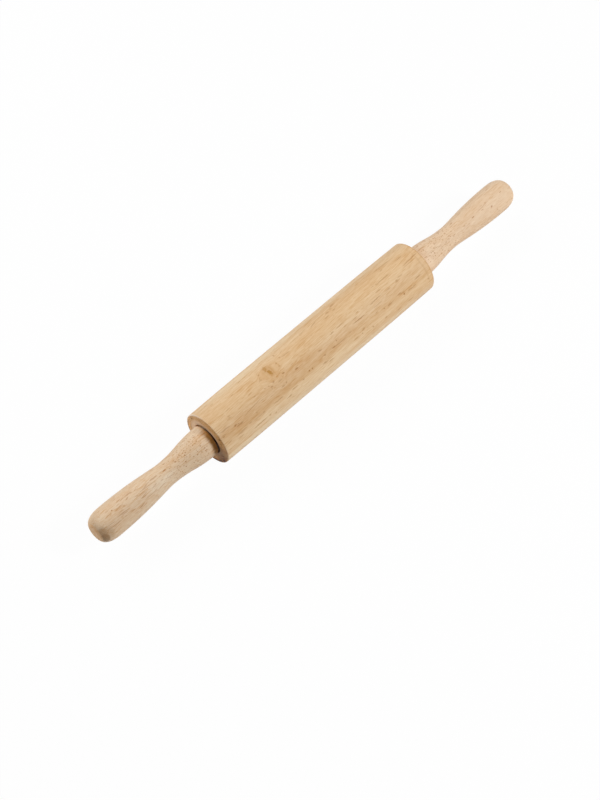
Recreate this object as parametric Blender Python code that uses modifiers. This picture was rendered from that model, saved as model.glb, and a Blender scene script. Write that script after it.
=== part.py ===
# Wooden rolling pin whose barrel turns on a steel rod between two fixed handles.
# The pin lies along X. Z is up, and the origin is under its middle, on the surface that it rests on.

import math

import bmesh
import bpy
from mathutils import Matrix, Vector
from mathutils.geometry import interpolate_bezier

# The barrel
BARREL_LENGTH = 0.250
BARREL_DIAMETER = 0.050
BARREL_STRAIGHT_SHARE = 0.48     # the middle that is a true cylinder, as a share of the length
BARREL_END_EASE = 0.00035        # how much the sanded ends are below the middle
BARREL_EDGE_ROUND = 0.0012       # rounding between the side and each end face
RECESS_DIAMETER = 0.0286         # the round pocket in each end face
RECESS_LIP_ROUND = 0.0006

# The rod
ROD_DIAMETER = 0.008
ROD_GRIP_LENGTH = 0.045          # glued into each handle
ROD_END_CHAMFER = 0.0008
ROD_HOLE_CLEARANCE = 0.001       # around the rod, in the hole through the barrel

# The bushes and washers
BUSH_WALL = 0.0037
BUSH_LENGTH = 0.020              # under the flange
BUSH_FLANGE_WIDTH = 0.003        # from the bush's side to the flange's rim
BUSH_FLANGE_THICKNESS = 0.0015
BUSH_CHAMFER = 0.0006
WASHER_WIDTH = 0.0047            # from its hole to its rim
WASHER_THICKNESS = 0.001

# The handles, measured from the barrel's end face outwards
HANDLE_REACH = 0.124             # from the barrel's end face to the tip
HANDLE_GAP = 0.0010              # from the barrel's end face to the handle's inner end
HANDLE_COLLAR_DIAMETER = 0.0286  # the flared inner end
HANDLE_COLLAR_ROUND = 0.0006
HANDLE_NECK_DIAMETER = 0.0210
HANDLE_BELLY_DIAMETER = 0.0285
HANDLE_NECK_SHARE = 0.378        # place of the thinnest point along the reach
HANDLE_BELLY_LENGTH = 0.003      # the straight stretch between the belly's curve and the tip's
HANDLE_TIP_LENGTH = 0.016        # the rounded end
HANDLE_TIP_FLAT_DIAMETER = 0.009

# How far each curve's two control points reach, as shares of that curve's length and height
COLLAR_CURVE_SHARES = (0.50, 0.47)
BELLY_CURVE_SHARES = (0.13, 0.54)
TIP_CURVE_SHARES = (0.79, 0.54)

# Clearances
FIT_GAP = 0.0003                 # between pieces that are pressed or glued together
RUNNING_GAP = 0.0003             # between pieces that turn on each other

# Facets around each turned piece, a multiple of four, so that a flat side faces straight down
BARREL_FACETS = 64
HANDLE_FACETS = 40
ROD_FACETS = 24
BUSH_FACETS = 32
ROUNDING_STEPS = 3
EASE_STEPS = 3
CURVE_STEPS = 9

# Colours
BARREL_COLOUR = (0.66, 0.44, 0.24, 1.0)
HANDLE_COLOUR = (0.72, 0.51, 0.32, 1.0)
STEEL_COLOUR = (0.56, 0.57, 0.58, 1.0)
NYLON_COLOUR = (0.83, 0.82, 0.78, 1.0)

# Worked out from the sizes above
barrel_half = BARREL_LENGTH / 2
barrel_radius = BARREL_DIAMETER / 2
axis_height = barrel_radius
rod_radius = ROD_DIAMETER / 2
collar_radius = HANDLE_COLLAR_DIAMETER / 2
recess_radius = RECESS_DIAMETER / 2
handle_inner = barrel_half + HANDLE_GAP
washer_outer = handle_inner - RUNNING_GAP
washer_inner = washer_outer - WASHER_THICKNESS
flange_outer = washer_inner - RUNNING_GAP
flange_inner = flange_outer - BUSH_FLANGE_THICKNESS
recess_floor = flange_inner - FIT_GAP
handle_tip = barrel_half + HANDLE_REACH
rod_half = barrel_half + ROD_GRIP_LENGTH
rod_hole_radius = rod_radius + ROD_HOLE_CLEARANCE
bush_bore_radius = rod_radius + RUNNING_GAP
bush_radius = bush_bore_radius + BUSH_WALL


def clear_scene():
    for old in list(bpy.data.objects):
        bpy.data.objects.remove(old, do_unlink=True)


def make_material(name, colour, roughness, metallic=0.0):
    material = bpy.data.materials.new(name)
    material.use_nodes = True
    shader = material.node_tree.nodes["Principled BSDF"]
    shader.inputs["Base Color"].default_value = colour
    shader.inputs["Roughness"].default_value = roughness
    shader.inputs["Metallic"].default_value = metallic
    return material


def rounded_corner(before, corner, after, size, steps=ROUNDING_STEPS):
    """Points of a quarter arc that replaces a square corner between two straight runs."""
    start = corner + (before - corner).normalized() * size
    end = corner + (after - corner).normalized() * size
    centre = start + end - corner
    points = []
    for step in range(steps + 1):
        turn = math.pi / 2 * step / steps
        points.append(centre + (start - centre) * math.cos(turn) + (end - centre) * math.sin(turn))
    return points


def turned(name, outline, facets, material, closed_loop):
    """Turns an outline of (radius, place along the axis) points into a round piece along X.

    The outline runs down the outer side, from the +X end to the -X end. Each radius is measured
    to the middle of a facet, and one facet faces straight down.
    """
    spread = 1 / math.cos(math.pi / facets)
    shape = bmesh.new()
    corners = [shape.verts.new((radius * spread, 0, along)) for radius, along in outline]
    for first, second in zip(corners, corners[1:]):
        shape.edges.new((first, second))
    if closed_loop:
        shape.edges.new((corners[-1], corners[0]))
    mesh = bpy.data.meshes.new(name)
    shape.to_mesh(mesh)
    shape.free()
    mesh.transform(Matrix.Rotation(math.pi / facets, 4, "Z"))
    mesh.materials.append(material)
    piece = bpy.data.objects.new(name, mesh)
    screw = piece.modifiers.new("turned", "SCREW")
    screw.axis = "Z"
    screw.steps = facets
    screw.render_steps = facets
    screw.use_merge_vertices = True
    screw.merge_threshold = 0.00001
    screw.use_smooth_shade = True
    piece.rotation_euler = (0, math.pi / 2, 0)
    return piece


def curve_between(start, end, first_control, second_control):
    """Points of one smooth curve, without its first point, which the curve before it ends on."""
    points = interpolate_bezier(start, first_control, second_control, end, CURVE_STEPS + 1)
    return [point.to_2d() for point in points[1:]]


def barrel_end_points():
    """The outline from the bore out to the straight middle, at the barrel's +X end."""
    seat_radius = bush_radius + FIT_GAP
    seat_floor = recess_floor - BUSH_LENGTH
    face_radius = barrel_radius - BARREL_END_EASE
    straight_end = barrel_half * BARREL_STRAIGHT_SHARE
    ease_end = barrel_half - BARREL_EDGE_ROUND
    points = [
        Vector((rod_hole_radius, seat_floor)),
        Vector((seat_radius, seat_floor)),
        Vector((seat_radius, recess_floor)),
        Vector((recess_radius, recess_floor)),
    ]
    lip = Vector((recess_radius, barrel_half))
    rim = Vector((face_radius, barrel_half))
    points += rounded_corner(points[-1], lip, rim, RECESS_LIP_ROUND)
    points += rounded_corner(lip, rim, Vector((face_radius, 0)), BARREL_EDGE_ROUND)
    for step in range(1, EASE_STEPS + 1):
        share = 1 - step / EASE_STEPS
        along = straight_end + (ease_end - straight_end) * share
        points.append(Vector((barrel_radius - BARREL_END_EASE * share * share, along)))
    return points


def make_barrel(material):
    right = barrel_end_points()
    left = [Vector((radius, -along)) for radius, along in reversed(right)]
    return turned("barrel", right + left, BARREL_FACETS, material, closed_loop=True)


def handle_outline():
    """A handle's outline from the middle of its tip, round to the floor of its blind hole."""
    neck = Vector((HANDLE_NECK_DIAMETER / 2, barrel_half + HANDLE_REACH * HANDLE_NECK_SHARE))
    shoulder = Vector((HANDLE_BELLY_DIAMETER / 2, handle_tip - HANDLE_TIP_LENGTH))
    belly = shoulder - Vector((0, HANDLE_BELLY_LENGTH))
    tip_edge = Vector((HANDLE_TIP_FLAT_DIAMETER / 2, handle_tip))
    collar = Vector((collar_radius, handle_inner + 2 * HANDLE_COLLAR_ROUND))
    points = [Vector((0, handle_tip)), tip_edge]

    tip_out = (shoulder.x - tip_edge.x) * TIP_CURVE_SHARES[1]
    tip_down = HANDLE_TIP_LENGTH * TIP_CURVE_SHARES[0]
    points += curve_between(
        tip_edge, shoulder, tip_edge + Vector((tip_out, 0)), shoulder + Vector((0, tip_down))
    )

    points.append(belly)
    belly_run = belly.y - neck.y
    points += curve_between(
        belly,
        neck,
        belly - Vector((0, belly_run * BELLY_CURVE_SHARES[1])),
        neck + Vector((0, belly_run * BELLY_CURVE_SHARES[0])),
    )
    neck_run = neck.y - collar.y
    points += curve_between(
        neck,
        collar,
        neck - Vector((0, neck_run * COLLAR_CURVE_SHARES[1])),
        collar + Vector((0, neck_run * COLLAR_CURVE_SHARES[0])),
    )

    hole_radius = rod_radius + FIT_GAP
    hole_floor = rod_half + FIT_GAP
    inner_edge = Vector((collar_radius, handle_inner))
    hole_mouth = Vector((hole_radius, handle_inner))
    points += rounded_corner(collar, inner_edge, hole_mouth, HANDLE_COLLAR_ROUND)
    points += [hole_mouth, Vector((hole_radius, hole_floor)), Vector((0, hole_floor))]
    return points


def make_handle(name, material):
    return turned(name, handle_outline(), HANDLE_FACETS, material, closed_loop=False)


def make_rod(material):
    chamfered = rod_radius - ROD_END_CHAMFER
    shoulder = rod_half - ROD_END_CHAMFER
    right = [(0, rod_half), (chamfered, rod_half), (rod_radius, shoulder)]
    left = [(radius, -along) for radius, along in reversed(right)]
    return turned("axle_rod", right + left, ROD_FACETS, material, closed_loop=False)


def make_bush(name, material):
    flange_radius = bush_radius + BUSH_FLANGE_WIDTH
    inner_end = flange_inner - BUSH_LENGTH
    outline = [
        (bush_bore_radius, flange_outer),
        (flange_radius - BUSH_CHAMFER, flange_outer),
        (flange_radius, flange_outer - BUSH_CHAMFER),
        (flange_radius, flange_inner),
        (bush_radius, flange_inner),
        (bush_radius, inner_end + BUSH_CHAMFER),
        (bush_radius - BUSH_CHAMFER, inner_end),
        (bush_bore_radius, inner_end),
    ]
    return turned(name, outline, BUSH_FACETS, material, closed_loop=True)


def make_washer(name, material):
    radius = bush_bore_radius + WASHER_WIDTH
    outline = [
        (bush_bore_radius, washer_outer),
        (radius, washer_outer),
        (radius, washer_inner),
        (bush_bore_radius, washer_inner),
    ]
    return turned(name, outline, BUSH_FACETS, material, closed_loop=True)


def apply_turning(piece, sharp_angle=math.radians(35)):
    """Puts the turned mesh in place of its outline, smooth around and crisp at its corners."""
    graph = bpy.context.evaluated_depsgraph_get()
    mesh = bpy.data.meshes.new_from_object(piece.evaluated_get(graph))
    mesh.name = piece.name
    piece.modifiers.clear()
    piece.data = mesh
    mesh.shade_smooth()
    mesh.set_sharp_from_angle(angle=sharp_angle)


def build():
    clear_scene()
    collection = bpy.data.collections.new("rolling_pin")
    bpy.context.scene.collection.children.link(collection)
    spin_axis = bpy.data.objects.new("roller_axis", None)
    spin_axis.location = (0, 0, axis_height)
    collection.objects.link(spin_axis)

    barrel_wood = make_material("barrel_wood", BARREL_COLOUR, 0.55)
    handle_wood = make_material("handle_wood", HANDLE_COLOUR, 0.6)
    steel = make_material("rod_steel", STEEL_COLOUR, 0.3, metallic=1.0)
    nylon = make_material("nylon", NYLON_COLOUR, 0.45)

    pieces = [make_barrel(barrel_wood), make_rod(steel)]
    for side, turned_end in (("right", 0), ("left", math.pi)):
        side_pieces = [
            make_handle("handle_" + side, handle_wood),
            make_bush("bush_" + side, nylon),
            make_washer("washer_" + side, nylon),
        ]
        for piece in side_pieces:
            piece.rotation_euler[2] = turned_end
        pieces += side_pieces

    for piece in pieces:
        collection.objects.link(piece)
        piece.parent = spin_axis
    for piece in pieces:
        apply_turning(piece)


build()
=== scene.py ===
import math

import bmesh
import bpy
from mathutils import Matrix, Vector
from mathutils.geometry import interpolate_bezier


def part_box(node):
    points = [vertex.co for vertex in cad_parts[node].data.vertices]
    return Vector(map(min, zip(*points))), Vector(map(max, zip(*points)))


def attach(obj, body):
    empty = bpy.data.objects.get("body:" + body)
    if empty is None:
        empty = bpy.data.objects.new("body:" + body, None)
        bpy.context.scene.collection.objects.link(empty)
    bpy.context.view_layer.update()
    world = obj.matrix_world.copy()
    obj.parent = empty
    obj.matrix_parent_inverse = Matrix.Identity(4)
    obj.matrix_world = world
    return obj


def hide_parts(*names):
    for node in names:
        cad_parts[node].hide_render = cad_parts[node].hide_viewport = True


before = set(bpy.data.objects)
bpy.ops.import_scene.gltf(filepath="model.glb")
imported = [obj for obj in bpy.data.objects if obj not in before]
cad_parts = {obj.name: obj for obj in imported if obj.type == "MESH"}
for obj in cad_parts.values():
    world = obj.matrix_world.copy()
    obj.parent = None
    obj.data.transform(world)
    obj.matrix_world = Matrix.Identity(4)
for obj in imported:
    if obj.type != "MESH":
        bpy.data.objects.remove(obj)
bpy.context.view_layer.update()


# The barrel: the roller, turned from one length of pale rubberwood, sanded and lightly oiled. It is
# bored through for the rod, and has a seat for a bush and a round pocket in each end face.

barrel_low, barrel_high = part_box("barrel")
barrel_half = (barrel_high.x - barrel_low.x) / 2
barrel_radius = (barrel_high.y - barrel_low.y) / 2
axis_height = (barrel_high.z + barrel_low.z) / 2
barrel_straight = 0.060        # half the length of the middle that is a true cylinder
barrel_end_ease = 0.00035      # how much the sanded ends are below the middle
barrel_edge_round = 0.0008
pocket_radius = 0.0143
pocket_depth = 0.0024
pocket_lip_round = 0.0006
bush_seat_radius = 0.0083
bush_seat_depth = 0.0200
rod_hole_radius = 0.0050
barrel_sides = 256
ease_rings = 10
same_place = 0.00001           # two points nearer than this are taken as one


def turn_on_lathe(name, outline, sides, through=False):
    """A round piece along X: a disc, extruded and resized from one outline point to the next.

    The outline is a list of (place along X, radius). With through, its two ends are the mouths of a
    hole right through the piece, and the hole's wall joins them.
    """
    bpy.ops.object.select_all(action="DESELECT")
    along, radius = outline[0]
    bpy.ops.mesh.primitive_circle_add(
        vertices=sides, radius=radius, fill_type="NGON",
        location=(along, 0, axis_height), rotation=(0, math.pi / 2, 0),
    )
    bpy.ops.object.transform_apply(location=True, rotation=True, scale=True)
    piece = bpy.context.object
    piece.name = piece.data.name = name
    bpy.ops.object.mode_set(mode="EDIT")
    bpy.ops.mesh.select_mode(type="FACE")
    bpy.ops.mesh.select_all(action="SELECT")
    for next_along, next_radius in outline[1:]:
        bpy.ops.mesh.extrude_region_move(
            TRANSFORM_OT_translate={"value": (next_along - along, 0, 0)}
        )
        growth = next_radius / radius
        bpy.ops.transform.resize(
            value=(1, growth, growth), center_override=(next_along, 0, axis_height)
        )
        along, radius = next_along, next_radius
    if through:
        select_parts(piece, "FACE", lambda face: len(face.verts) > 4)
        bpy.ops.mesh.delete(type="ONLY_FACE")
        select_parts(piece, "EDGE", lambda edge: edge.is_boundary)
        bpy.ops.mesh.bridge_edge_loops()
    return piece


def select_parts(piece, kind, wanted):
    """Selects the edges or faces that are wanted, and nothing else."""
    bpy.ops.mesh.select_mode(type=kind)
    bpy.ops.mesh.select_all(action="DESELECT")
    mesh = bmesh.from_edit_mesh(piece.data)
    for part in {"EDGE": mesh.edges, "FACE": mesh.faces}[kind]:
        if wanted(part):
            part.select_set(True)
    mesh.select_flush_mode()
    bmesh.update_edit_mesh(piece.data)


def round_corner(piece, along, radius, size, steps):
    """Rounds the circular edges that lie at this place, at either end of the piece."""
    def on_corner(edge):
        return all(
            abs(abs(corner.co.x) - along) < same_place
            and abs(math.hypot(corner.co.y, corner.co.z - axis_height) - radius) < same_place
            for corner in edge.verts
        )
    select_parts(piece, "EDGE", on_corner)
    bpy.ops.mesh.bevel(offset=size, segments=steps, affect="EDGES")


def take_off_lathe(sharp_angle=35):
    """Ends the modelling of the piece: faces outwards, smooth around and crisp at its corners."""
    bpy.ops.mesh.select_mode(type="FACE")
    bpy.ops.mesh.select_all(action="SELECT")
    bpy.ops.mesh.normals_make_consistent(inside=False)
    bpy.ops.object.mode_set(mode="OBJECT")
    bpy.ops.object.shade_smooth_by_angle(angle=math.radians(sharp_angle))


face_radius = barrel_radius - barrel_end_ease
seat_mouth = barrel_half - pocket_depth
seat_floor = seat_mouth - bush_seat_depth
barrel_right = [
    (seat_floor, rod_hole_radius),
    (seat_floor, bush_seat_radius),
    (seat_mouth, bush_seat_radius),
    (seat_mouth, pocket_radius),
    (barrel_half, pocket_radius),
    (barrel_half, face_radius),
]
for ring in range(1, ease_rings + 1):
    share = 1 - ring / ease_rings
    along = barrel_straight + (barrel_half - 2 * barrel_edge_round - barrel_straight) * share
    barrel_right.append((along, barrel_radius - barrel_end_ease * share * share))
barrel_left = [(-along, radius) for along, radius in reversed(barrel_right)]
barrel = turn_on_lathe("barrel_turned", barrel_right + barrel_left, barrel_sides, through=True)
round_corner(barrel, barrel_half, face_radius, barrel_edge_round, steps=5)
round_corner(barrel, barrel_half, pocket_radius, pocket_lip_round, steps=4)
take_off_lathe()


def feed(tree, node, feeds):
    """Gives each of these inputs, by name or number, a value or another node's output."""
    for name, value in feeds.items():
        if isinstance(value, bpy.types.NodeSocket):
            tree.links.new(value, node.inputs[name])
        else:
            node.inputs[name].default_value = value


def add_node(tree, kind, feeds=None, **settings):
    node = tree.nodes.new("ShaderNode" + kind)
    for setting, value in settings.items():
        setattr(node, setting, value)
    feed(tree, node, feeds or {})
    return node


def reckon(tree, operation, *values):
    return add_node(tree, "Math", dict(enumerate(values)), operation=operation).outputs[0]


def both_of(tree, first, second):
    """How far two shares hold together."""
    return reckon(tree, "MULTIPLY", first, second)


def reckon_vector(tree, operation, *values):
    return add_node(tree, "VectorMath", dict(enumerate(values)), operation=operation).outputs[0]


def length_of(tree, vector):
    return add_node(tree, "VectorMath", {0: vector}, operation="LENGTH").outputs["Value"]


def split(tree, vector):
    return add_node(tree, "SeparateXYZ", {0: vector}).outputs


def ramp(tree, value, low, high, at_low=0.0, at_high=1.0):
    """Goes smoothly from one number to another while the value goes from low to high."""
    feeds = {"Value": value, "From Min": low, "From Max": high, "To Min": at_low, "To Max": at_high}
    return add_node(tree, "MapRange", feeds, interpolation_type="SMOOTHSTEP").outputs[0]


def tint(tree, share, first, second, way="MIX"):
    """Two colours mixed, or one laid over the other in another way, by this share."""
    feeds = {0: share, 6: first, 7: second}
    return add_node(tree, "Mix", feeds, data_type="RGBA", blend_type=way).outputs[2]


def speckle(tree, place, stretch, detail=2.0, roughness=0.5, part="Fac"):
    """Noise whose lumps are this long, wide and high, in millimetres."""
    scaled = reckon_vector(tree, "DIVIDE", place, stretch)
    feeds = {"Vector": scaled, "Scale": 1.0, "Detail": detail, "Roughness": roughness}
    return add_node(tree, "TexNoise", feeds).outputs[part]


def stray(tree, place, stretch, reach, detail=1.0):
    """A shift to and fro across this reach, by noise whose lumps have this stretch."""
    noise = speckle(tree, place, stretch, detail=detail, part="Color")
    centred = reckon_vector(tree, "SUBTRACT", noise, (0.5, 0.5, 0.5))
    return reckon_vector(tree, "MULTIPLY", centred, reach)


def new_group(name, inputs, outputs):
    """An empty node group with these sockets: its tree, what it is given and what it results in."""
    group = bpy.data.node_groups.new(name, "ShaderNodeTree")
    for way, sockets in (("INPUT", inputs), ("OUTPUT", outputs)):
        for title, kind in sockets:
            group.interface.new_socket(title, in_out=way, socket_type="NodeSocket" + kind)
    given = group.nodes.new("NodeGroupInput").outputs
    result = group.nodes.new("NodeGroupOutput").inputs
    return group, given, result


def use_group(tree, group, feeds):
    node = add_node(tree, "Group", node_tree=group)
    feed(tree, node, feeds)
    return node.outputs


def make_pore_layer():
    """The wood's open vessels, which show as dashes along the grain and as dots on end grain."""
    group, given, result = new_group(
        "wood_pores",
        [
            ("Place", "Vector"), ("Length", "Float"), ("Spacing", "Float"), ("Size", "Float"),
            ("Amount", "Float"),
        ],
        [("Pores", "Float")],
    )
    cell_size = add_node(
        group, "CombineXYZ", {0: given["Length"], 1: given["Spacing"], 2: given["Spacing"]}
    ).outputs[0]
    scaled = reckon_vector(group, "DIVIDE", given["Place"], cell_size)
    cells = add_node(group, "TexVoronoi", {"Vector": scaled, "Scale": 1.0}, feature="F1").outputs
    inner = reckon(group, "MULTIPLY", given["Size"], 0.35)
    hole = ramp(group, cells["Distance"], inner, given["Size"], 1.0, 0.0)
    chance = add_node(group, "SeparateColor", {"Color": cells["Color"]}).outputs
    crowd = speckle(group, given["Place"], (40.0, 5.0, 5.0), detail=1.0)
    crowded = reckon(group, "MULTIPLY", ramp(group, crowd, 0.3, 0.7, 0.4, 1.6), given["Amount"])
    shut = reckon(group, "SUBTRACT", 1.0, crowded)
    opened = reckon(group, "GREATER_THAN", chance[0], shut)
    depth = reckon(group, "MULTIPLY_ADD", chance[1], 0.6, 0.4)
    open_hole = both_of(group, hole, opened)
    group.links.new(reckon(group, "MULTIPLY", open_hole, depth), result["Pores"])
    return group


def distance_from_axis(tree, place):
    return length_of(tree, reckon_vector(tree, "MULTIPLY", place, (0.0, 1.0, 1.0)))


def make_rubberwood(pore_layer):
    """Sanded rubberwood in the round. Place is in millimetres from the middle of the tree."""
    group, given, result = new_group(
        "rubberwood",
        [
            ("Place", "Vector"), ("End Grain", "Float"), ("Tone", "Float"), ("Marks", "Float"),
            ("Pale", "Color"), ("Deep", "Color"), ("Pore Colour", "Color"),
            ("Waviness", "Float"), ("Pore Amount", "Float"),
        ],
        [("Colour", "Color"), ("Roughness", "Float"), ("Height", "Float")],
    )
    place = given["Place"]
    drift = stray(group, place, (70.0, 18.0, 18.0), (0.0, 5.0, 5.0))
    waves = add_node(group, "CombineXYZ", {1: given["Waviness"], 2: given["Waviness"]}).outputs[0]
    wave_reach = reckon_vector(group, "MULTIPLY", waves, (0.0, 3.0, 3.0))
    wave = stray(group, place, (13.0, 5.0, 5.0), wave_reach)
    wandering = reckon_vector(group, "ADD", reckon_vector(group, "ADD", place, drift), wave)

    from_pith = distance_from_axis(group, wandering)
    wide_rings, narrow_rings = [
        add_node(
            group, "TexNoise", {"W": from_pith, "Scale": rings_per_mm, "Detail": 1.0},
            noise_dimensions="1D",
        ).outputs["Fac"]
        for rings_per_mm in (0.16, 0.75)
    ]
    broad = speckle(group, wandering, (90.0, 9.0, 9.0), detail=2.0)
    streak = speckle(group, wandering, (32.0, 1.6, 1.6), detail=2.0, roughness=0.6)
    fibre = speckle(group, wandering, (8.0, 0.55, 0.55), detail=2.0, roughness=0.6)
    dash = speckle(group, wandering, (11.0, 0.8, 0.8), detail=1.0)
    thread = speckle(group, wandering, (24.0, 0.65, 0.65), detail=1.0)

    depth = reckon(group, "SUBTRACT", given["Tone"], 0.06)
    for part, low, high, least, most in (
        (wide_rings, 0.3, 0.7, 0.0, 0.18),
        (narrow_rings, 0.35, 0.7, 0.0, 0.12),
        (broad, 0.3, 0.7, -0.10, 0.18),
        (streak, 0.3, 0.75, 0.06, 0.36),
        (fibre, 0.28, 0.72, -0.22, 0.32),
        (dash, 0.55, 0.75, 0.0, 0.4),
        (thread, 0.54, 0.74, 0.0, 0.72),
    ):
        depth = reckon(group, "ADD", depth, ramp(group, part, low, high, least, most))
    depth = add_node(group, "Clamp", {"Value": depth, "Min": -0.7, "Max": 1.5}).outputs[0]
    colour = add_node(
        group, "Mix", {0: depth, 6: given["Pale"], 7: given["Deep"]},
        data_type="RGBA", clamp_factor=False,
    ).outputs[2]

    large, small = [
        use_group(group, pore_layer, {
            "Place": wandering, "Length": length, "Spacing": spacing, "Size": 0.17,
            "Amount": given["Pore Amount"],
        })["Pores"]
        for length, spacing in ((15.0, 2.1), (6.0, 1.1))
    ]
    large = reckon(group, "MULTIPLY", large, 0.8)
    small = reckon(group, "MULTIPLY", small, 0.5)
    pores = reckon(group, "MAXIMUM", large, small)
    side_share = reckon(group, "SUBTRACT", 1.0, given["End Grain"])
    marked = reckon(group, "MAXIMUM", pores, both_of(group, given["Marks"], side_share))
    colour = tint(group, marked, colour, given["Pore Colour"])

    mottle = speckle(group, place, (1.3, 1.3, 1.3), detail=3.0, roughness=0.6)
    mottle = ramp(group, mottle, 0.3, 0.7)
    soaked = tint(group, mottle, (0.82, 0.67, 0.47, 1), (1.14, 1.03, 0.83, 1))
    soaked = tint(group, 1.0, colour, soaked, way="MULTIPLY")
    colour = tint(group, given["End Grain"], colour, soaked)

    rough = reckon(group, "MULTIPLY_ADD", fibre, 0.10, 0.52)
    rough = reckon(group, "MULTIPLY_ADD", pores, 0.15, rough)
    height = reckon(group, "MULTIPLY_ADD", pores, -1.0, reckon(group, "MULTIPLY", fibre, 0.25))
    group.links.new(colour, result["Colour"])
    group.links.new(rough, result["Roughness"])
    group.links.new(height, result["Height"])
    return group


def make_grain_mark():
    """One long vessel, streak or patch at its own place on a piece's side, over those before it."""
    group, given, result = new_group(
        "grain_mark",
        [
            ("Side", "Vector"), ("At", "Vector"), ("Turn", "Vector"), ("Half Size", "Vector"),
            ("Strength", "Float"), ("So Far", "Float"),
        ],
        [("Darkest", "Float"), ("Sum", "Float")],
    )
    own = add_node(
        group, "Mapping",
        {"Vector": given["Side"], "Location": given["At"], "Rotation": given["Turn"],
         "Scale": given["Half Size"]},
        vector_type="TEXTURE",
    ).outputs[0]
    inside = add_node(
        group, "TexGradient", {"Vector": own}, gradient_type="SPHERICAL"
    ).outputs["Fac"]
    mark = ramp(group, inside, 0.0, 0.55, 0.0, given["Strength"])
    group.links.new(reckon(group, "MAXIMUM", mark, given["So Far"]), result["Darkest"])
    group.links.new(reckon(group, "ADD", mark, given["So Far"]), result["Sum"])
    return group


pore_layer = make_pore_layer()
rubberwood = make_rubberwood(pore_layer)
grain_mark = make_grain_mark()
mm = 1000.0                    # millimetres in a metre
pore_brown = (0.42, 0.19, 0.05, 1)
low_front_way = (0.0, -0.906, -0.423)      # from the axis towards the camera and down


def new_material(name):
    """A material, its node tree and its surface."""
    material = bpy.data.materials.new(name)
    material.use_nodes = True
    return material, material.node_tree, material.node_tree.nodes["Principled BSDF"]


def new_wood(name, sheen):
    """The same for sanded wood, whose raised fibres give it this much sheen."""
    material, tree, surface = new_material(name)
    feed(tree, surface, {
        "Specular IOR Level": 0.25, "Sheen Weight": sheen, "Sheen Roughness": 0.4,
    })
    return material, tree, surface


def finish_surface(tree, surface, colour, roughness, height, strength, depth):
    """Feeds the surface, with a bump this strong and this many metres deep."""
    bump = add_node(tree, "Bump", {"Height": height, "Strength": strength, "Distance": depth})
    feed(tree, surface, {"Base Color": colour, "Roughness": roughness, "Normal": bump.outputs[0]})


def own_place(tree):
    """Millimetres from the middle of the pin's axis."""
    return add_node(tree, "Mapping", {
        "Vector": add_node(tree, "TexCoord").outputs["Object"],
        "Scale": (mm, mm, mm), "Location": (0, 0, -axis_height * mm),
    }).outputs[0]


def side_place(tree, place):
    """Millimetres along the piece, and around it on a barrel-sized circle from the top to +Y."""
    x, y, z = split(tree, place)
    arc = reckon(tree, "MULTIPLY", reckon(tree, "ARCTAN2", y, z), barrel_radius * mm)
    flat = add_node(tree, "CombineXYZ", {0: x, 1: arc}).outputs[0]
    wobble = stray(tree, place, (3.0, 2.0, 2.0), (2.0, 1.0, 0.0))
    return reckon_vector(tree, "ADD", flat, wobble)


def lay_marks(tree, side, marks, kept="Darkest", thickness=1.0):
    """Marks given as (along, around, half length, half width, turn in degrees, strength)."""
    so_far = 0.0
    for along, around, half_length, half_width, turn, strength in marks:
        so_far = use_group(tree, grain_mark, {
            "Side": side, "At": (along, around, 0), "Turn": (0, 0, math.radians(turn)),
            "Half Size": (half_length, half_width * thickness, 1), "Strength": strength,
            "So Far": so_far,
        })[kept]
    return so_far


def nearness_to_side(tree, place, towards):
    """1 where this place lies that way from the axis, and -1 where it lies the other way."""
    across = reckon_vector(tree, "MULTIPLY", place, (0.0, 1.0, 1.0))
    outward = reckon_vector(tree, "NORMALIZE", across)
    return add_node(
        tree, "VectorMath", {0: outward, 1: towards}, operation="DOT_PRODUCT"
    ).outputs["Value"]


def grain_facing(tree):
    """How much the surface faces along the grain: 0 on a side, 1 on an end."""
    normal = add_node(tree, "TexCoord").outputs["Normal"]
    return reckon(tree, "ABSOLUTE", split(tree, normal)[0])


# Negative strengths are paler. The pale bands at (-70, 17), (-60, 11) and (0, 19), near the top
# back rim, are painted sheen; those at (-36, -30.5), (-30, -41) and (-85, -40), near the low front
# rim, are partly paler sapwood and partly painted sheen.
# (along, around, half length, half width, turn in degrees, strength), in millimetres
barrel_bands = [
    (-20, -20.5, 75, 4.5, 1, 0.24), (-103, -18, 34, 7, 0, 0.22), (75, -18.5, 60, 4, 0, -0.12),
    (-36, -30.5, 120, 7, 0, -0.5), (80, -28, 60, 4, 0, -0.25), (-30, -41, 190, 7, 0, -1.0),
    (-10, -37.6, 110, 1.0, 0, 0.5), (-70, 17, 75, 6, 0, -0.4), (-54, -2, 14, 10, 0, 0.45),
    (60, -10, 70, 9, 0, -0.2), (-32, -13.5, 30, 6, 0, 0.4), (-60, 11, 65, 8, 0, -0.30),
    (0, 19, 180, 5, 0, -0.45), (-85, -40, 40, 6, 0, -0.35), (88, -14.8, 36, 5, 0, 0.26),
    (-78, -14.6, 36, 5, 0, 0.22), (36, 0.5, 40, 5, 0, -0.22), (-100, 0.5, 30, 6, 0, -0.15),
    (117, -2, 20, 6.5, 0, 0.2), (108, 11, 26, 5, 0, -0.32), (111, -20.5, 9, 4, 0, -0.25),
    (100, -25.5, 9, 3.5, 0, 0.3),
]
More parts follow.
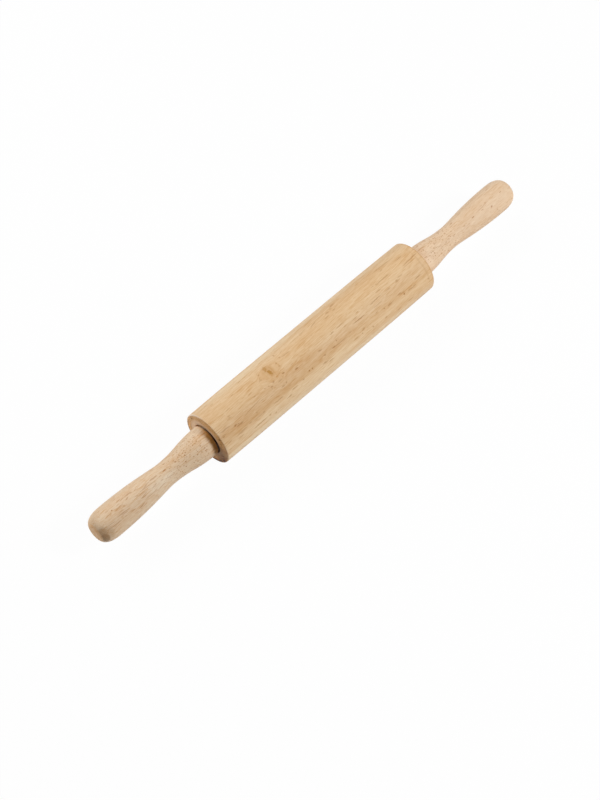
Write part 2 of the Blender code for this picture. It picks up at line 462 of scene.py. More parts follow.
barrel_marks = [
    # painted shade along the right edge, beside the gap to the handle, and a line turned
    # around the barrel beside it
    (124.2, -8, 0.9, 30, 0, 0.3), (119.4, -17, 1.1, 24, 0, 0.16),
    (-107.1, -7.9, 2.4, 0.49, -3, 0.4), (-107.3, -9.4, 1.7, 0.41, 0, 0.4),
    (-116.4, -14.6, 6.5, 0.45, -2, 0.5), (-107.5, -17.3, 1, 0.67, 0, 0.9),
    (-104.5, -17.8, 1.4, 0.42, 0, 0.6), (-121.5, -18.7, 1.1, 0.51, 0, 0.6),
    (-103.2, -19, 5.6, 0.56, 1, 0.6), (-85.3, -20.7, 1.1, 0.71, 0, 0.4),
    (-104, -25.1, 7, 0.58, 0, 0.45), (-94.9, -24.2, 2.2, 0.57, 0, 0.4),
    (-79.8, -24.6, 1.8, 0.58, 0, 0.45), (-85.9, -31.3, 9.6, 0.72, 2, 0.55),
    (-69.5, -33.9, 1.1, 0.82, 0, 0.4), (-79, -9.2, 1.8, 0.49, 0, 0.4),
    (-62.4, 2.8, 1.4, 0.59, 30, 0.5), (-64.4, -2, 1.6, 0.53, 21, 0.4),
    (-67, -9.5, 1.1, 0.49, -25, 0.5), (-63.5, -10.3, 0.8, 0.66, 0, 0.5),
    (-57.6, -10.1, 1.4, 0.66, 0, 0.6), (-61.5, -12.2, 1.6, 0.66, -13, 0.6),
    (-62, -13.6, 0.7, 0.58, 0, 0.5), (-52.1, -12.6, 2.9, 0.5, 6, 0.4),
    (-45.9, -9.4, 1.5, 0.58, -16, 0.8), (-44, 0.9, 1.4, 0.56, 12, 0.5),
    (-43.5, -2.7, 1.1, 0.53, 0, 0.4), (-39.3, 8.9, 0.8, 0.85, 0, 0.5),
    (-37.9, 3.2, 1.3, 0.6, -38, 0.4), (-31.8, 2, 5.4, 0.58, 0, 0.45),
    (-34.1, -13.7, 2.4, 0.62, -2, 0.85), (-53, -18, 3.4, 0.51, 0, 0.5),
    (-48.7, -17.3, 1.3, 0.6, 43, 0.6), (-7.2, -14.7, 3, 0.51, -8, 0.6),
    (-25.2, -22.3, 0.9, 0.83, 0, 0.9), (-21.7, -22.6, 1, 0.75, 0, 0.8),
    (-5.6, -20.6, 1.5, 0.72, -16, 0.5), (-33.6, -25.2, 1.7, 0.59, 0, 0.6),
    (-60.4, -24.9, 3.8, 0.58, 0, 0.5), (-51.5, -29.3, 2.7, 0.67, 2, 0.6),
    (-44, -26, 4.7, 0.5, 0, 0.4), (-75.3, -31.1, 1.6, 0.72, 0, 0.5),
    (-69.1, -33.8, 0.8, 0.95, 0, 0.5), (-8.6, -26, 1.7, 0.61, 0, 0.6),
    (-1.7, -28.4, 3.9, 0.55, 0, 0.45), (6.3, 7.3, 5.2, 0.63, 13, 0.4),
    (23.6, 7.6, 2.3, 0.82, 0, 0.5), (32, 10.9, 3.8, 0.82, 10, 0.5),
    (19.2, 3.8, 4.2, 0.51, 9, 0.45), (29.4, 5.4, 2.4, 0.54, 0, 0.4),
    (12.1, -9.9, 2, 0.5, 0, 0.5), (21.1, -9.2, 5.4, 0.42, 4, 0.45), (37.2, -13, 4, 0.42, 0, 0.4),
    (39.8, -15.9, 8.9, 0.47, -1, 0.75), (10.5, -17.2, 1, 0.69, 0, 0.7),
    (5.6, -20.4, 2.5, 0.63, 0, 0.65), (36.1, -28.1, 0.8, 0.88, 0, 0.45),
    (39, -25.1, 1.9, 0.8, 0, 0.5), (48.6, -30.2, 0.9, 0.83, 0, 0.5),
    (64.1, -31.7, 1.9, 0.89, 0, 0.45), (64.1, -12, 8.5, 0.47, 3, 0.6),
    (70.4, -7.6, 4.1, 0.52, 0, 0.45), (74, -2.3, 2.9, 0.46, 0, 0.4),
    (65.6, -23.2, 1, 0.68, 0, 0.6), (72.4, -23.4, 3.4, 0.78, 3, 0.6),
    (82.6, -2.2, 10.1, 0.5, 0, 0.5), (93.4, 8.8, 15.3, 0.63, -2, 0.4),
    (108.1, 3.4, 4.9, 0.57, 3, 0.45), (90.1, -11, 2.1, 0.77, 0, 0.5),
    (95.3, -9.9, 3.9, 0.52, 0, 0.4), (114.2, -4.2, 11.8, 0.54, 4, 0.6),
    (85.3, -21.7, 2.9, 0.75, 0, 0.6), (89.9, -24.7, 1.2, 0.91, 0, 0.85),
    (109.3, -20.7, 5.4, 0.56, 5, 0.6), (103.1, -25, 2.7, 0.61, -11, 0.4),
    (80.3, -34.5, 2.9, 0.89, 0, 0.4), (119, -29.1, 1.1, 0.93, 0, 0.5),
    (-118.3, -14.2, 6.6, 0.42, 0, 0.5), (-116.1, -14.9, 5.7, 0.36, 2, 0.4),
    (-107.1, -17.2, 2.3, 0.5, 1, 0.6), (-103.2, -19.4, 5.1, 0.42, 1, 0.5),
    (-107.1, -25.9, 6.6, 0.45, 1, 0.45), (-107.9, -28.8, 4.8, 0.45, 1, 0.45),
    (-107.7, -9.6, 4.2, 0.38, 0, 0.4), (-104.1, -3.2, 3.9, 0.36, 2, 0.4),
    (-83.8, -14.6, 13.5, 0.36, 8, 0.35), (-86, -24.8, 9.1, 0.42, 1, 0.4),
    (-63.8, -25, 5.0, 0.45, 0, 0.45), (-52.3, -29.4, 4.3, 0.5, 4, 0.5),
    (-32, 1.9, 7.4, 0.36, -6, 0.4), (-13.8, 7.8, 10.9, 0.36, 2, 0.35),
    (-8.7, -26.3, 3.2, 0.55, -3, 0.55), (-80.3, -5.2, 3.1, 0.36, 1, 0.4),
    (-65.1, -1.1, 3.4, 0.4, 40, 0.4), (-119.2, -25.8, 3.6, 0.45, 1, 0.4),
    (-120.7, -17.5, 2.2, 0.5, -11, 0.55), (-6.4, 8.4, 7.4, 0.4, 7, 0.4),
    (6, 7.1, 5.5, 0.42, 9, 0.5), (23.1, 7.5, 3.4, 0.45, 6, 0.5), (32.3, 10.8, 4.7, 0.42, 12, 0.5),
    (11.5, -10.1, 3.5, 0.4, 0, 0.45), (21.6, -9.6, 7.8, 0.36, 1, 0.35),
    (36.6, -12.9, 4.6, 0.4, 1, 0.4), (59.7, -12.5, 5.9, 0.4, 1, 0.5),
    (62, -16.3, 8.6, 0.42, 0, 0.4), (78.4, -12.2, 4.3, 0.42, -1, 0.45),
    (90.7, -11.8, 4.4, 0.42, 1, 0.5), (12.1, -20.7, 11.6, 0.45, 0, 0.5),
    (73.3, -23.4, 5.2, 0.5, 4, 0.55), (86.4, -22.4, 6.3, 0.5, -9, 0.5),
    (98.4, -25.2, 5.6, 0.55, -6, 0.55), (110.6, -6.4, 9.5, 0.38, 1, 0.4),
    (28.3, -28, 3.9, 0.5, 2, 0.4), (38.2, -25.3, 2.9, 0.5, 20, 0.5),
    (94.8, -34.8, 4.7, 0.6, 1, 0.45), (-6.6, -26.8, 3.1, 0.5, 4, 0.45),
    (107.5, 3.7, 5.8, 0.38, 2, 0.4), (81.6, -2.4, 12.7, 0.38, 0, 0.45),
]
knot_along, knot_around = -53.6, -1.0
knot_lobes = [
    (-53.4, -1.6, 2.3, 3.4, 10, 1.0), (-54.8, 3.6, 2.0, 4.2, -15, 0.7), (-54, 0.5, 6, 8.5, 0, 0.25),
]
# on the left end face: (around, radius, half length, half width, turn in degrees, strength)
left_face_marks = [
    (-53.1, 22.8, 4.0, 2.0, 0, 1.0), (-60.2, 22.8, 4.2, 2.0, 0, 1.0), (-67, 23.1, 8, 2.1, 0, 0.85),
    (-47.2, 19.7, 2.6, 1.1, 20, 0.65), (-50.5, 21.0, 5, 1.2, 14, 0.5), (-57, 21.6, 9, 2.0, 4, 0.45),
    (-45.5, 22.9, 2.4, 0.9, 0, 0.35),
    (-19.3, 22.2, 1.3, 2.0, 0, 0.7), (-11, 22.6, 1.8, 1.2, 0, 0.4),
    (-25.2, 19.6, 1.4, 2.2, 0, 0.45), (-20, 23.5, 16, 0.7, 0, 0.3), (25.3, 21.5, 2.4, 1.0, 0, 0.6),
    (24.0, 23.0, 2.6, 0.7, 0, 0.45), (36, 22.4, 8, 0.9, 0, 0.35), (40, 19.5, 7, 0.8, 4, 0.25),
    (54, 23.5, 24, 1.5, 0, 0.4), (2, 22.9, 3, 0.5, 0, 0.25), (-4, 20.0, 1.0, 2.0, 0, 0.2),
    (10, 20.4, 1.2, 2.2, 0, 0.2), (30.5, 23.9, 1.2, 0.7, 0, 0.6), (34.5, 23.5, 1.0, 0.8, 0, 0.65),
    (38.2, 23.9, 1.3, 0.7, 0, 0.65), (42.3, 23.6, 1.2, 0.9, 0, 0.7), (47, 23.8, 1.6, 0.9, 0, 0.7),
    (33, 20.8, 1.2, 1.4, 0, 0.3), (44.5, 21.6, 1.5, 1.2, 0, 0.35),
]


def part_around_knot(tree, side):
    """How far to look aside for the grain, because it climbs to the right and parts at the knot."""
    place_along, place_around = split(tree, side)[:2]
    along = reckon(tree, "SUBTRACT", place_along, knot_along)
    around = reckon(tree, "SUBTRACT", place_around, knot_around)
    near = ramp(tree, reckon(tree, "ABSOLUTE", along), 0.0, 15.0, 22.0, 0.0)
    left_over = reckon(tree, "SUBTRACT", reckon(tree, "MULTIPLY", around, around), near)
    parted = reckon(tree, "SQRT", reckon(tree, "MAXIMUM", left_over, 0.0))
    parted = reckon(tree, "MULTIPLY", parted, reckon(tree, "SIGN", around))
    shift = reckon(tree, "SUBTRACT", parted, around)
    slope = reckon(tree, "MULTIPLY_ADD", place_along, 0.000114, 0.025)
    climb = reckon(tree, "MULTIPLY", slope, place_along)
    return reckon(tree, "SUBTRACT", shift, climb)


barrel_wood, tree, surface = new_wood("barrel_rubberwood", sheen=0.05)
own = own_place(tree)
own_x, own_y, own_z = split(tree, own)
side = side_place(tree, own)
aside = reckon(tree, "MULTIPLY", part_around_knot(tree, side), -1 / (barrel_radius * mm))
along_grain = add_node(
    tree, "VectorRotate", {"Vector": own, "Angle": aside}, rotation_type="X_AXIS"
).outputs[0]
in_tree = add_node(
    tree, "Mapping", {"Vector": along_grain, "Location": (0.0, -19.0, 41.0)}
).outputs[0]
from_knot = length_of(tree, add_node(
    tree, "Mapping",
    {"Vector": side, "Location": (knot_along, knot_around, 0), "Scale": (3.4, 5.4, 1)},
    vector_type="TEXTURE",
).outputs[0])
end_grain = ramp(tree, grain_facing(tree), 0.5, 0.95)
wood = use_group(tree, rubberwood, {
    "Place": in_tree, "End Grain": end_grain,
    "Tone": lay_marks(tree, side, barrel_bands, kept="Sum"),
    "Marks": lay_marks(tree, side, barrel_marks, thickness=1.35),
    "Pale": (0.755, 0.535, 0.315, 1), "Deep": (0.635, 0.378, 0.172, 1), "Pore Colour": pore_brown,
    "Waviness": ramp(tree, from_knot, 0.5, 6.0, 2.0, 0.55), "Pore Amount": 0.35,
})
lumps = stray(tree, own, (2.2, 2.2, 2.2), (3.5, 5.0, 0.0), detail=2.0)
knotted = lay_marks(tree, reckon_vector(tree, "ADD", side, lumps), knot_lobes)
colour = tint(tree, knotted, wood["Colour"], (0.46, 0.235, 0.06, 1))

# The left end face has painted shade low at the front, where the handle's shadow falls,
# with its rim browned there, and a painted highlight at the back of its rim. The right one
# doesn't show in the photograph, and is left plain.
face_at = -barrel_half * mm
radius = distance_from_axis(tree, own)
low_front = nearness_to_side(tree, own, low_front_way)
handle_shadow_way = (0.0, -0.970, -0.242)
handle_shadow_side = nearness_to_side(tree, own, handle_shadow_way)
on_left = reckon(tree, "LESS_THAN", own_x, face_at + 5)
on_left_face = both_of(tree, end_grain, reckon(tree, "LESS_THAN", own_x, face_at + 1))
# painted shade low at the front, and a painted highlight at the back of the rim
painted_face_light = tint(tree, ramp(tree, low_front, 0.08, 0.38), (1.02, 1.02, 1.0, 1), (0.85, 0.82, 0.76, 1))
painted_face_light = tint(tree, ramp(tree, own_y, 18.5, 22.0), painted_face_light, (1.34, 1.36, 1.42, 1))
# the handle's shadow, painted low at the front of the face
face_shade_and_browning = tint(tree, ramp(tree, handle_shadow_side, 0.64, 1.0), painted_face_light, (0.51, 0.425, 0.34, 1))
browned = both_of(tree, ramp(tree, radius, 19.5, 21.5), ramp(tree, own_z, -5.0, -11.0))
browned = both_of(tree, browned, ramp(tree, low_front, 0.25, 0.75))
face_shade_and_browning = tint(tree, browned, face_shade_and_browning, (1.28, 1.0, 0.48, 1), way="MULTIPLY")
colour = tint(tree, on_left_face, colour, tint(tree, 1.0, colour, face_shade_and_browning, way="MULTIPLY"))

# Dark specks lie along the left face's rim.
face_place = add_node(tree, "CombineXYZ", {0: split(tree, side)[1], 1: radius}).outputs[0]
dirt = lay_marks(tree, face_place, left_face_marks)
dirt = both_of(tree, dirt, reckon(tree, "LESS_THAN", own_x, face_at + 0.7))
colour = tint(tree, dirt, colour, (0.11, 0.038, 0.007, 1))

# A paler ring surrounds the left pocket, strongest at the top back, and the outer edge's
# rounding has a painted highlight at the top back.
within = reckon(tree, "SUBTRACT", radius, ramp(tree, low_front, -1.0, -0.6, 1.8, 0.0))
ring = both_of(
    tree, ramp(tree, within, 15.6, 19.4, 0.95, 0.0), ramp(tree, low_front, 0.1, 0.75, 1.0, 0.15)
)
ring_mottle = speckle(tree, own, (1.6, 1.6, 1.6), detail=3.0, roughness=0.6)
ring = both_of(tree, ring, ramp(tree, ring_mottle, 0.3, 0.6, 0.6, 1.0))
colour = tint(tree, both_of(tree, ring, on_left_face), colour, (0.88, 0.645, 0.435, 1))
# painted highlight on the rounding of the left face's outer edge
edge = both_of(
    tree, ramp(tree, radius, 23.5, 24.0), ramp(tree, own_x, face_at + 0.7, face_at + 1.3, 1.0, 0.0)
)
edge = both_of(tree, edge, ramp(tree, low_front, -0.95, -0.55, 0.5, 0.06))
colour = tint(tree, edge, colour, (0.90, 0.80, 0.70, 1))

# Painted shade darkens the pockets inside, less so where light reaches the left one's lip from the
# top back.
lit_lip = both_of(tree, on_left, ramp(tree, low_front, -0.6, 0.5, 0.9, 0.0))
off_middle = reckon(tree, "ADD", reckon(tree, "ABSOLUTE", own_x), lit_lip)
painted_pocket_shade = both_of(
    tree, ramp(tree, radius, pocket_radius * mm - 0.2, pocket_radius * mm + 0.2, 1.0, 0.0),
    ramp(tree, off_middle, barrel_half * mm - 0.8, barrel_half * mm - 0.1, 1.0, 0.0),
)
painted_pocket_shade = both_of(tree, painted_pocket_shade, ramp(tree, low_front, -0.35, 0.7, 0.0, 1.0))
colour = tint(tree, painted_pocket_shade, colour, (0.17, 0.08, 0.03, 1))
finish_surface(
    tree, surface, colour, wood["Roughness"], height=wood["Height"], strength=0.35, depth=0.0001
)
barrel.data.materials.append(barrel_wood)
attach(barrel, "roller")
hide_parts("barrel")


# The bushes: white nylon bearings, moulded with a thin flange and pressed into the seats at the
# barrel's ends, where the rod turns in them.

bush_bore_radius = 0.0043
bush_radius = 0.0080
bush_flange_radius = 0.0110
bush_flange_thickness = 0.0015
bush_length = 0.0200
bush_chamfer = 0.0006
piece_gap = 0.0003             # between neighbouring pieces, as in the solids
flange_inner = seat_mouth + piece_gap
flange_outer = flange_inner + bush_flange_thickness
bush_inner = flange_inner - bush_length
nylon_sides = 96

nylon, tree, surface = new_material("moulded_nylon")
own = own_place(tree)
cloud = speckle(tree, own, (4.0, 4.0, 4.0), detail=2.0)
grit = speckle(tree, own, (0.25, 0.25, 0.25), detail=1.0)
white = tint(tree, cloud, (0.80, 0.79, 0.74, 1), (0.86, 0.85, 0.81, 1))

# What shows beside a handle is painted dark low at the front, as shade, and light brown at the
# top back, where light reaches.
painted_gap_shade = tint(tree, cloud, (0.08, 0.042, 0.02, 1), (0.14, 0.08, 0.045, 1))
low_front = nearness_to_side(tree, own, low_front_way)
gap_shade_and_light = tint(tree, ramp(tree, low_front, -0.35, 0.7), (0.70, 0.52, 0.36, 1), painted_gap_shade)
off_middle = reckon(tree, "ABSOLUTE", split(tree, own)[0])
gap_shade_share = ramp(tree, off_middle, seat_mouth * mm - 0.4, seat_mouth * mm + 0.4, 0.0, 0.95)
finish_surface(
    tree, surface, tint(tree, gap_shade_share, white, gap_shade_and_light), ramp(tree, grit, 0.2, 0.8, 0.38, 0.5),
    height=grit, strength=0.2, depth=0.00005,
)


def turn_bush(side_name, direction):
    outline = [
        (flange_outer, bush_bore_radius),
        (flange_outer, bush_flange_radius - bush_chamfer),
        (flange_outer - bush_chamfer, bush_flange_radius),
        (flange_inner, bush_flange_radius),
        (flange_inner, bush_radius),
        (bush_inner + bush_chamfer, bush_radius),
        (bush_inner, bush_radius - bush_chamfer),
        (bush_inner, bush_bore_radius),
    ]
    outline = [(along * direction, radius) for along, radius in outline]
    bush = turn_on_lathe("bush_moulded_" + side_name, outline, nylon_sides, through=True)
    take_off_lathe()
    bush.data.materials.append(nylon)
    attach(bush, "roller")
    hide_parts("bush_" + side_name)


turn_bush("left", -1)
turn_bush("right", 1)


# The rod: one length of bright drawn steel bar through the whole barrel, with its ends chamfered
# and glued into the handles.

rod_low, rod_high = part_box("axle_rod")
rod_half = (rod_high.x - rod_low.x) / 2
rod_radius = 0.0040
rod_chamfer = 0.0008
rod_sides = 64
rod_outline = [
    (rod_half, rod_radius - rod_chamfer),
    (rod_half - rod_chamfer, rod_radius),
    (rod_chamfer - rod_half, rod_radius),
    (-rod_half, rod_radius - rod_chamfer),
]
rod = turn_on_lathe("rod_drawn", rod_outline, rod_sides)
take_off_lathe()

bright_steel, tree, surface = new_material("drawn_steel")
surface.inputs["Metallic"].default_value = 1.0
own = own_place(tree)
draw_lines = speckle(tree, own, (60.0, 0.15, 0.15), detail=2.0)
dulled = speckle(tree, own, (12.0, 2.5, 2.5), detail=3.0)
steel = tint(tree, ramp(tree, dulled, 0.35, 0.7), (0.60, 0.60, 0.60, 1), (0.50, 0.50, 0.49, 1))
finish_surface(
    tree, surface, steel, ramp(tree, draw_lines, 0.3, 0.7, 0.24, 0.36),
    height=draw_lines, strength=0.15, depth=0.00005,
)
rod.data.materials.append(bright_steel)
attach(rod, "spindle")
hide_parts("axle_rod")


# The washers: thin rings stamped from nylon sheet. They lie loose on the rod, one at each end, and
# keep the handle's wood off the bush's flange.

washer_radius = 0.0090
washer_thickness = 0.0010
washer_edge_round = 0.00015
washer_inner = flange_outer + piece_gap
washer_outer = washer_inner + washer_thickness


def on_washer_rim(edge):
    first, second = edge.verts
    return (
        abs(first.co.x - second.co.x) < same_place
        and math.hypot(first.co.y, first.co.z - axis_height) > washer_radius - same_place
    )


for side_name, direction in (("left", -1), ("right", 1)):
    washer_outline = [
        (washer_outer * direction, bush_bore_radius),
        (washer_outer * direction, washer_radius),
        (washer_inner * direction, washer_radius),
        (washer_inner * direction, bush_bore_radius),
    ]
    washer = turn_on_lathe(
        "washer_stamped_" + side_name, washer_outline, nylon_sides, through=True
    )
    select_parts(washer, "EDGE", on_washer_rim)
    bpy.ops.mesh.bevel(offset=washer_edge_round, segments=2, affect="EDGES")
    take_off_lathe()
    washer.data.materials.append(nylon)
    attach(washer, "spindle")
    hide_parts("washer_" + side_name)


# The handles: turned from the same rubberwood, flared at the inner end, thin at the neck and full
# where the palm closes on them. Each has a blind hole for the rod and is glued to it.

handle_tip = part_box("handle_right")[1].x
handle_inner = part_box("handle_right")[0].x
handle_length = handle_tip - handle_inner
handle_reach = handle_tip - barrel_half
collar_radius = 0.0143
collar_round = 0.0006
collar_land = 0.0006           # the short straight stretch behind the collar's rounding
collar_steps = 4
neck_radius = 0.0105
neck_share = 0.378             # where the neck is, as a share of the reach
belly_radius = 0.01425
belly_length = 0.003
tip_length = 0.016
tip_flat_radius = 0.0045
rod_socket_radius = 0.0043
rod_socket_floor = rod_half + piece_gap
handle_sides = 160
curve_steps = 24


def flowing(start, end, first_pull, second_pull):
    """Points of one smooth curve of the outline, without its first point."""
    points = interpolate_bezier(
        Vector(start), Vector(start) + Vector(first_pull), Vector(end) + Vector(second_pull),
        Vector(end), curve_steps + 1,
    )
    return [(point.x, point.y) for point in points[1:]]


neck = (barrel_half + handle_reach * neck_share, neck_radius)
belly = (handle_tip - tip_length - belly_length, belly_radius)
shoulder = (handle_tip - tip_length, belly_radius)
collar = (handle_inner + collar_round + collar_land, collar_radius)
tip_edge = (handle_tip, tip_flat_radius)
neck_run = neck[0] - collar[0]
belly_run = belly[0] - neck[0]
handle_outline = [(rod_socket_floor, rod_socket_radius), (handle_inner, rod_socket_radius)]
for step in range(collar_steps + 1):
    turn = math.pi / 2 * step / collar_steps
    handle_outline.append((
        handle_inner + collar_round * (1 - math.cos(turn)),
        collar_radius - collar_round * (1 - math.sin(turn)),
    ))
handle_outline.append(collar)
handle_outline += flowing(collar, neck, (neck_run * 0.50, 0), (-neck_run * 0.47, 0))
handle_outline += flowing(neck, belly, (belly_run * 0.13, 0), (-belly_run * 0.54, 0))
handle_outline.append(shoulder)
handle_outline += flowing(
    shoulder, tip_edge, (tip_length * 0.79, 0), (0, (belly_radius - tip_flat_radius) * 0.54)
)


# (along, around, half length, half width, turn in degrees, strength), in millimetres
left_handle_marks = [
    (-229.9, -1.5, 1, 1.05, 0, 0.9), (-233.1, 2, 2.8, 0.81, 0, 0.4),
    (-220.6, 3.9, 3.6, 0.86, 8, 0.5), (-210.7, 2.5, 5.3, 1.03, -2, 0.55),
    (-213.1, -1.5, 1.6, 0.78, 22, 0.4), (-234.4, -3.7, 3.4, 0.73, -6, 0.4),
    (-223.6, -4.8, 7.6, 0.72, 12, 0.4), (-219.9, -7.7, 1.2, 0.99, 0, 0.4),
    (-197.8, -7.3, 6.9, 0.78, -9, 0.4), (-223.7, -14.4, 7.5, 0.77, -6, 0.6),
    (-236.9, -15.7, 5.2, 0.71, -4, 0.4), (-200.3, -14.2, 4.4, 0.77, 19, 0.45),
    (-233.8, -20.6, 8.9, 0.75, -2, 0.5), (-207.5, -25.1, 4.4, 0.96, 19, 0.6),
    (-214.2, -28, 2.9, 0.93, -4, 0.35), (-187.7, -2.1, 2.8, 1.27, 5, 0.5),
    (-185.1, -2, 6, 0.93, -2, 0.5), (-174, -3.9, 2.4, 1.5, 0, 0.85),
    (-189.6, -7.9, 6.1, 0.83, -9, 0.35), (-181.2, -15, 2.3, 0.9, 10, 0.4),
    (-191.5, -21.7, 4.3, 0.9, 1, 0.35), (-170.5, 7.9, 1.3, 2.14, -1, 0.5),
    (-162.5, -4.6, 0.8, 1.74, -2, 0.85), (-156.1, -0.2, 0.8, 1.74, -8, 0.85),
    (-153.2, -7.8, 0.8, 1.37, -3, 0.85), (-155.6, -17.4, 0.7, 1.63, 4, 0.85),
    (-147.8, -18.4, 0.8, 1.49, 5, 0.5), (-151.1, -4.5, 0.7, 1.37, -5, 0.85),
    (-140.5, 0.3, 0.7, 1.31, -5, 0.5),
    (-223.2, -0.7, 2.7, 0.71, 10, 0.4), (-217.2, 2.3, 3.8, 0.72, 17, 0.45),
    (-214.4, -2.4, 2.6, 0.76, 21, 0.5), (-208.9, 1.8, 3.1, 0.77, -30, 0.45),
    (-204.1, 0.9, 2.7, 0.75, 33, 0.4), (-206.5, -8.6, 2.8, 0.74, -25, 0.45),
    (-200.8, -10.6, 4.1, 0.73, -15, 0.4), (-197.2, -6, 5.2, 0.75, 17, 0.35),
    (-193.3, -3.8, 4.7, 0.77, 20, 0.4), (-186, -3.1, 5.2, 1.07, 1, 0.5),
    (-202.4, -16.3, 3.1, 0.79, -7, 0.55), (-198.7, -21.3, 6.1, 0.78, -1, 0.4),
    (-208.8, -25.9, 3.2, 0.83, 7, 0.5), (-222.9, -16.2, 4.5, 0.71, -11, 0.45),
    (-183.1, -23.1, 6.2, 0.88, 3, 0.4), (-189.2, -14.1, 4.6, 0.83, 17, 0.4),
    (-216, -21.1, 3.5, 0.72, -9, 0.4), (-224.6, -11, 3.4, 0.67, -10, 0.4),
    (-180, -7.4, 2.1, 0.9, 8, 0.4), (-173.4, -19.9, 4.7, 0.94, -16, 0.4),
    (-204.6, -27.4, 4.4, 0.71, 25, 0.35),
]
right_handle_marks = [
    (132.4, -12.1, 2.5, 1.07, 0, 0.48), (135.8, 3.7, 6.7, 1.14, 4, 0.44),
    (149.1, -3.1, 1.1, 1.86, 6, 0.4), (144.9, -9.5, 1.1, 1.33, 1, 0.32),
    (152.8, 0.3, 1.1, 1.68, 9, 0.32), (183.9, -14.4, 1.7, 1.35, 2, 0.4),
    (188.7, -16.7, 1.4, 1.13, 3, 0.32), (195.5, -12, 2.2, 1.22, 0, 0.64),
    (209.4, -8.4, 11.2, 0.82, 11, 0.32), (177.4, 8, 2.1, 1.65, -12, 0.32),
    (226.5, 10.3, 2.9, 1.45, -1, 0.32), (233.1, -8.8, 2, 1.1, 0, 0.56),
    (217.2, -17.9, 1.6, 1.64, 1, 0.64), (221, -28.2, 0.9, 1.62, 2, 0.4),
    (214.3, -6.6, 1.5, 0.97, -1, 0.32), (162.2, 14.6, 2.3, 3.03, 17, 0.28),
]


# the left handle's painted shade, on its tip's roundover and low at its inner end, and a browner
# tone at its inner end that is partly painted shade from the barrel's shadow
left_handle_painted_shade = [
    (-246.4, -33, 4.8, 16, 0, 0.85), (-246, -21, 4.6, 15, 0, 0.5), (-243, -26, 6.5, 15, 0, 0.3),
    (-126.5, -36, 4.5, 20, 0, 0.45),
]
left_handle_brown_and_shade = [(-125.5, -26, 6.5, 50, 0, 1.0)]
painted_shade_grey = (0.50, 0.385, 0.255, 1)
brown_and_shade_tint = (0.70, 0.48, 0.18, 1)
handle_pore_brown = (0.40, 0.16, 0.045, 1)


def turn_handle(side_name, direction, tree_place, pale, deep, bands, marks, shade_patches=(), brown_and_shade=()):
    """One handle, of wood from its own place in the tree, between a pale and a deep colour."""
    outline = [(along * direction, radius) for along, radius in handle_outline]
    handle = turn_on_lathe("handle_turned_" + side_name, outline, handle_sides)
    take_off_lathe(sharp_angle=40)

    material, tree, surface = new_wood("handle_rubberwood_" + side_name, sheen=0.12)
    own = own_place(tree)
    side = side_place(tree, own)
    in_tree = add_node(tree, "Mapping", {"Vector": own, "Location": tree_place}).outputs[0]

    # The flare cuts across the vessels, which show there as dots.
    beyond_inner = reckon(
        tree, "SUBTRACT", reckon(tree, "ABSOLUTE", split(tree, own)[0]), handle_inner * mm
    )
    flare = both_of(
        tree, ramp(tree, beyond_inner, 2.0, 12.0), ramp(tree, beyond_inner, 32.0, 60.0, 1.0, 0.0)
    )
    open_ends = use_group(tree, pore_layer, {
        "Place": own, "Length": 2.4, "Spacing": 1.55, "Size": 0.36, "Amount": 0.9,
    })["Pores"]
    open_ends = both_of(tree, open_ends, flare)
    wood = use_group(tree, rubberwood, {
        "Place": in_tree, "End Grain": ramp(tree, grain_facing(tree), 0.6, 0.98, 0.0, 0.35),
        "Tone": lay_marks(tree, side, bands, kept="Sum"),
        "Marks": reckon(tree, "MAXIMUM", lay_marks(tree, side, marks, thickness=1.1), open_ends),
        "Pale": pale, "Deep": deep, "Pore Colour": handle_pore_brown,
        "Waviness": 0.8, "Pore Amount": 0.4,
    })
    radius = distance_from_axis(tree, own)
    at_tip = ramp(tree, beyond_inner, handle_length * mm - 3.0, handle_length * mm - 2.0)
    flat_end = both_of(tree, ramp(tree, radius, 8.2, 9.6, 1.0, 0.0), at_tip)
    colour = wood["Colour"]
    # painted shade on these patches, kept off the flat end
    if shade_patches:
        off_flat = reckon(tree, "SUBTRACT", 1.0, flat_end)
        shade_patch_share = both_of(tree, lay_marks(tree, side, shade_patches), off_flat)
        colour = tint(tree, shade_patch_share, colour, painted_shade_grey, way="MULTIPLY")
    # a browner tone at the inner end, partly painted shade
    if brown_and_shade:
        colour = tint(tree, lay_marks(tree, side, brown_and_shade), colour, brown_and_shade_tint, way="MULTIPLY")
    colour = tint(tree, flat_end, colour, (1.02, 0.92, 0.79, 1), way="MULTIPLY")
    finish_surface(
        tree, surface, colour, wood["Roughness"], height=wood["Height"], strength=0.35, depth=0.0001
    )
    handle.data.materials.append(material)
    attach(handle, "spindle")
    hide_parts("handle_" + side_name)


turn_handle(
    "left", -1, tree_place=(310.0, 24.0, 30.0),
    pale=(0.78, 0.61, 0.428, 1), deep=(0.665, 0.43, 0.242, 1),
    bands=[
        (-240, -14, 30, 12, 0, 0.05), (-225, 6, 26, 7, 0, 0.2), (-182, -12, 18, 30, 0, -0.2),
        (-180, -18.5, 18, 7, 0, -0.35),
    ],
    marks=left_handle_marks, shade_patches=left_handle_painted_shade, brown_and_shade=left_handle_brown_and_shade,
)
turn_handle(
    "right", 1, tree_place=(-150.0, -33.0, 52.0),
    pale=(0.80, 0.606, 0.422, 1), deep=(0.688, 0.463, 0.278, 1),
    bands=[(133, -4, 6, 20, 0, 0.2), (132, -22, 8, 10, 0, -0.5)], marks=right_handle_marks,
)


# The studio: a white table top, an even white surround and three large soft lamps, with the camera
# high over the left end of the pin.

table_radius = 4.0
pin_middle = Vector((0, 0, axis_height))


def seen_plainly(tree):
    """1 where the camera looks, directly or in a shine or through glass, and 0 for other light."""
    path = add_node(tree, "LightPath").outputs
    by_way_of_shine = reckon(tree, "MAXIMUM", path["Is Glossy Ray"], path["Is Transmission Ray"])
    return reckon(tree, "MAXIMUM", path["Is Camera Ray"], by_way_of_shine)


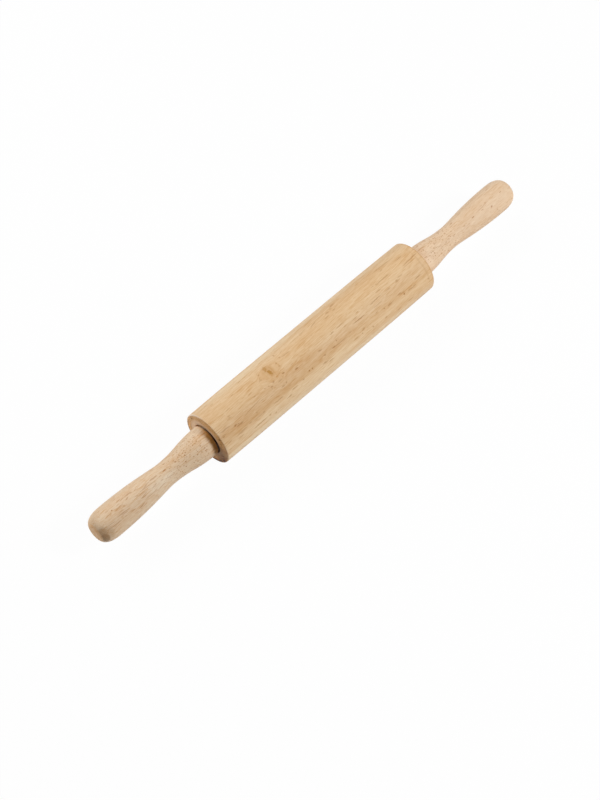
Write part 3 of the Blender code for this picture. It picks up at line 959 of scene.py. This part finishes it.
def hang_lamp(name, place, width, power):
    lamp = bpy.data.lights.new(name, "AREA")
    lamp.shape = "DISK"
    lamp.size = width
    lamp.energy = power
    holder = bpy.data.objects.new(name, lamp)
    holder.location = place
    holder.rotation_euler = (pin_middle - Vector(place)).to_track_quat("-Z", "Y").to_euler()
    bpy.context.scene.collection.objects.link(holder)


bpy.ops.object.select_all(action="DESELECT")
bpy.ops.mesh.primitive_circle_add(
    vertices=64, radius=table_radius, fill_type="NGON", location=(0, 0, 0)
)
table = bpy.context.object
table.name = "table_top"

# To the camera the table glows almost evenly, and shows the pin's shadow only faintly.
table_white, tree, surface = new_material("white_table_top")
feed(tree, surface, {
    "Base Color": (0.80, 0.80, 0.80, 1), "Roughness": 0.9, "Specular IOR Level": 0.0,
})
seen = seen_plainly(tree)
glow = add_node(tree, "Emission", {"Color": (1, 1, 1, 1), "Strength": seen})
mostly_glow = add_node(tree, "MixShader", {
    0: reckon(tree, "MULTIPLY", seen, 0.97), 1: surface.outputs[0], 2: glow.outputs[0],
})
tree.links.new(mostly_glow.outputs[0], tree.nodes["Material Output"].inputs["Surface"])
table.data.materials.append(table_white)

world = bpy.data.worlds.new("white_surround")
bpy.context.scene.world = world
world.use_nodes = True
tree = world.node_tree
feed(tree, tree.nodes["Background"], {
    "Color": (1, 1, 1, 1), "Strength": ramp(tree, seen_plainly(tree), 0.0, 1.0, 0.06, 1.0),
})

hang_lamp("back_lamp", (0.0, 1.3, 1.0), width=0.9, power=13.0)
hang_lamp("left_lamp", (-1.1, 0.9, 0.95), width=0.9, power=8.9)
hang_lamp("front_lamp", (0.65, -1.0, 1.05), width=0.45, power=18.5)

camera_azimuth = math.radians(-45.4)
camera_elevation = math.radians(56.95)
camera_distance = 1.4983
camera_shift_left = 0.01165    # these two bring the pin to its place in the picture
camera_shift_down = 0.04241
camera_away = Vector((
    math.sin(camera_azimuth) * math.cos(camera_elevation),
    -math.cos(camera_azimuth) * math.cos(camera_elevation),
    math.sin(camera_elevation),
))
camera_right = Vector((math.cos(camera_azimuth), math.sin(camera_azimuth), 0))
camera_up = camera_away.cross(camera_right)
camera_data = bpy.data.cameras.new("studio_camera")
camera_data.sensor_fit = "VERTICAL"
camera_data.sensor_height = 36.0
camera_data.lens = 79.38
camera = bpy.data.objects.new("studio_camera", camera_data)
camera.location = (
    pin_middle + camera_away * camera_distance
    - camera_right * camera_shift_left - camera_up * camera_shift_down
)
camera.rotation_euler = camera_away.to_track_quat("Z", "Y").to_euler()
bpy.context.scene.collection.objects.link(camera)
bpy.context.scene.camera = camera
bpy.context.scene.view_settings.view_transform = "Standard"
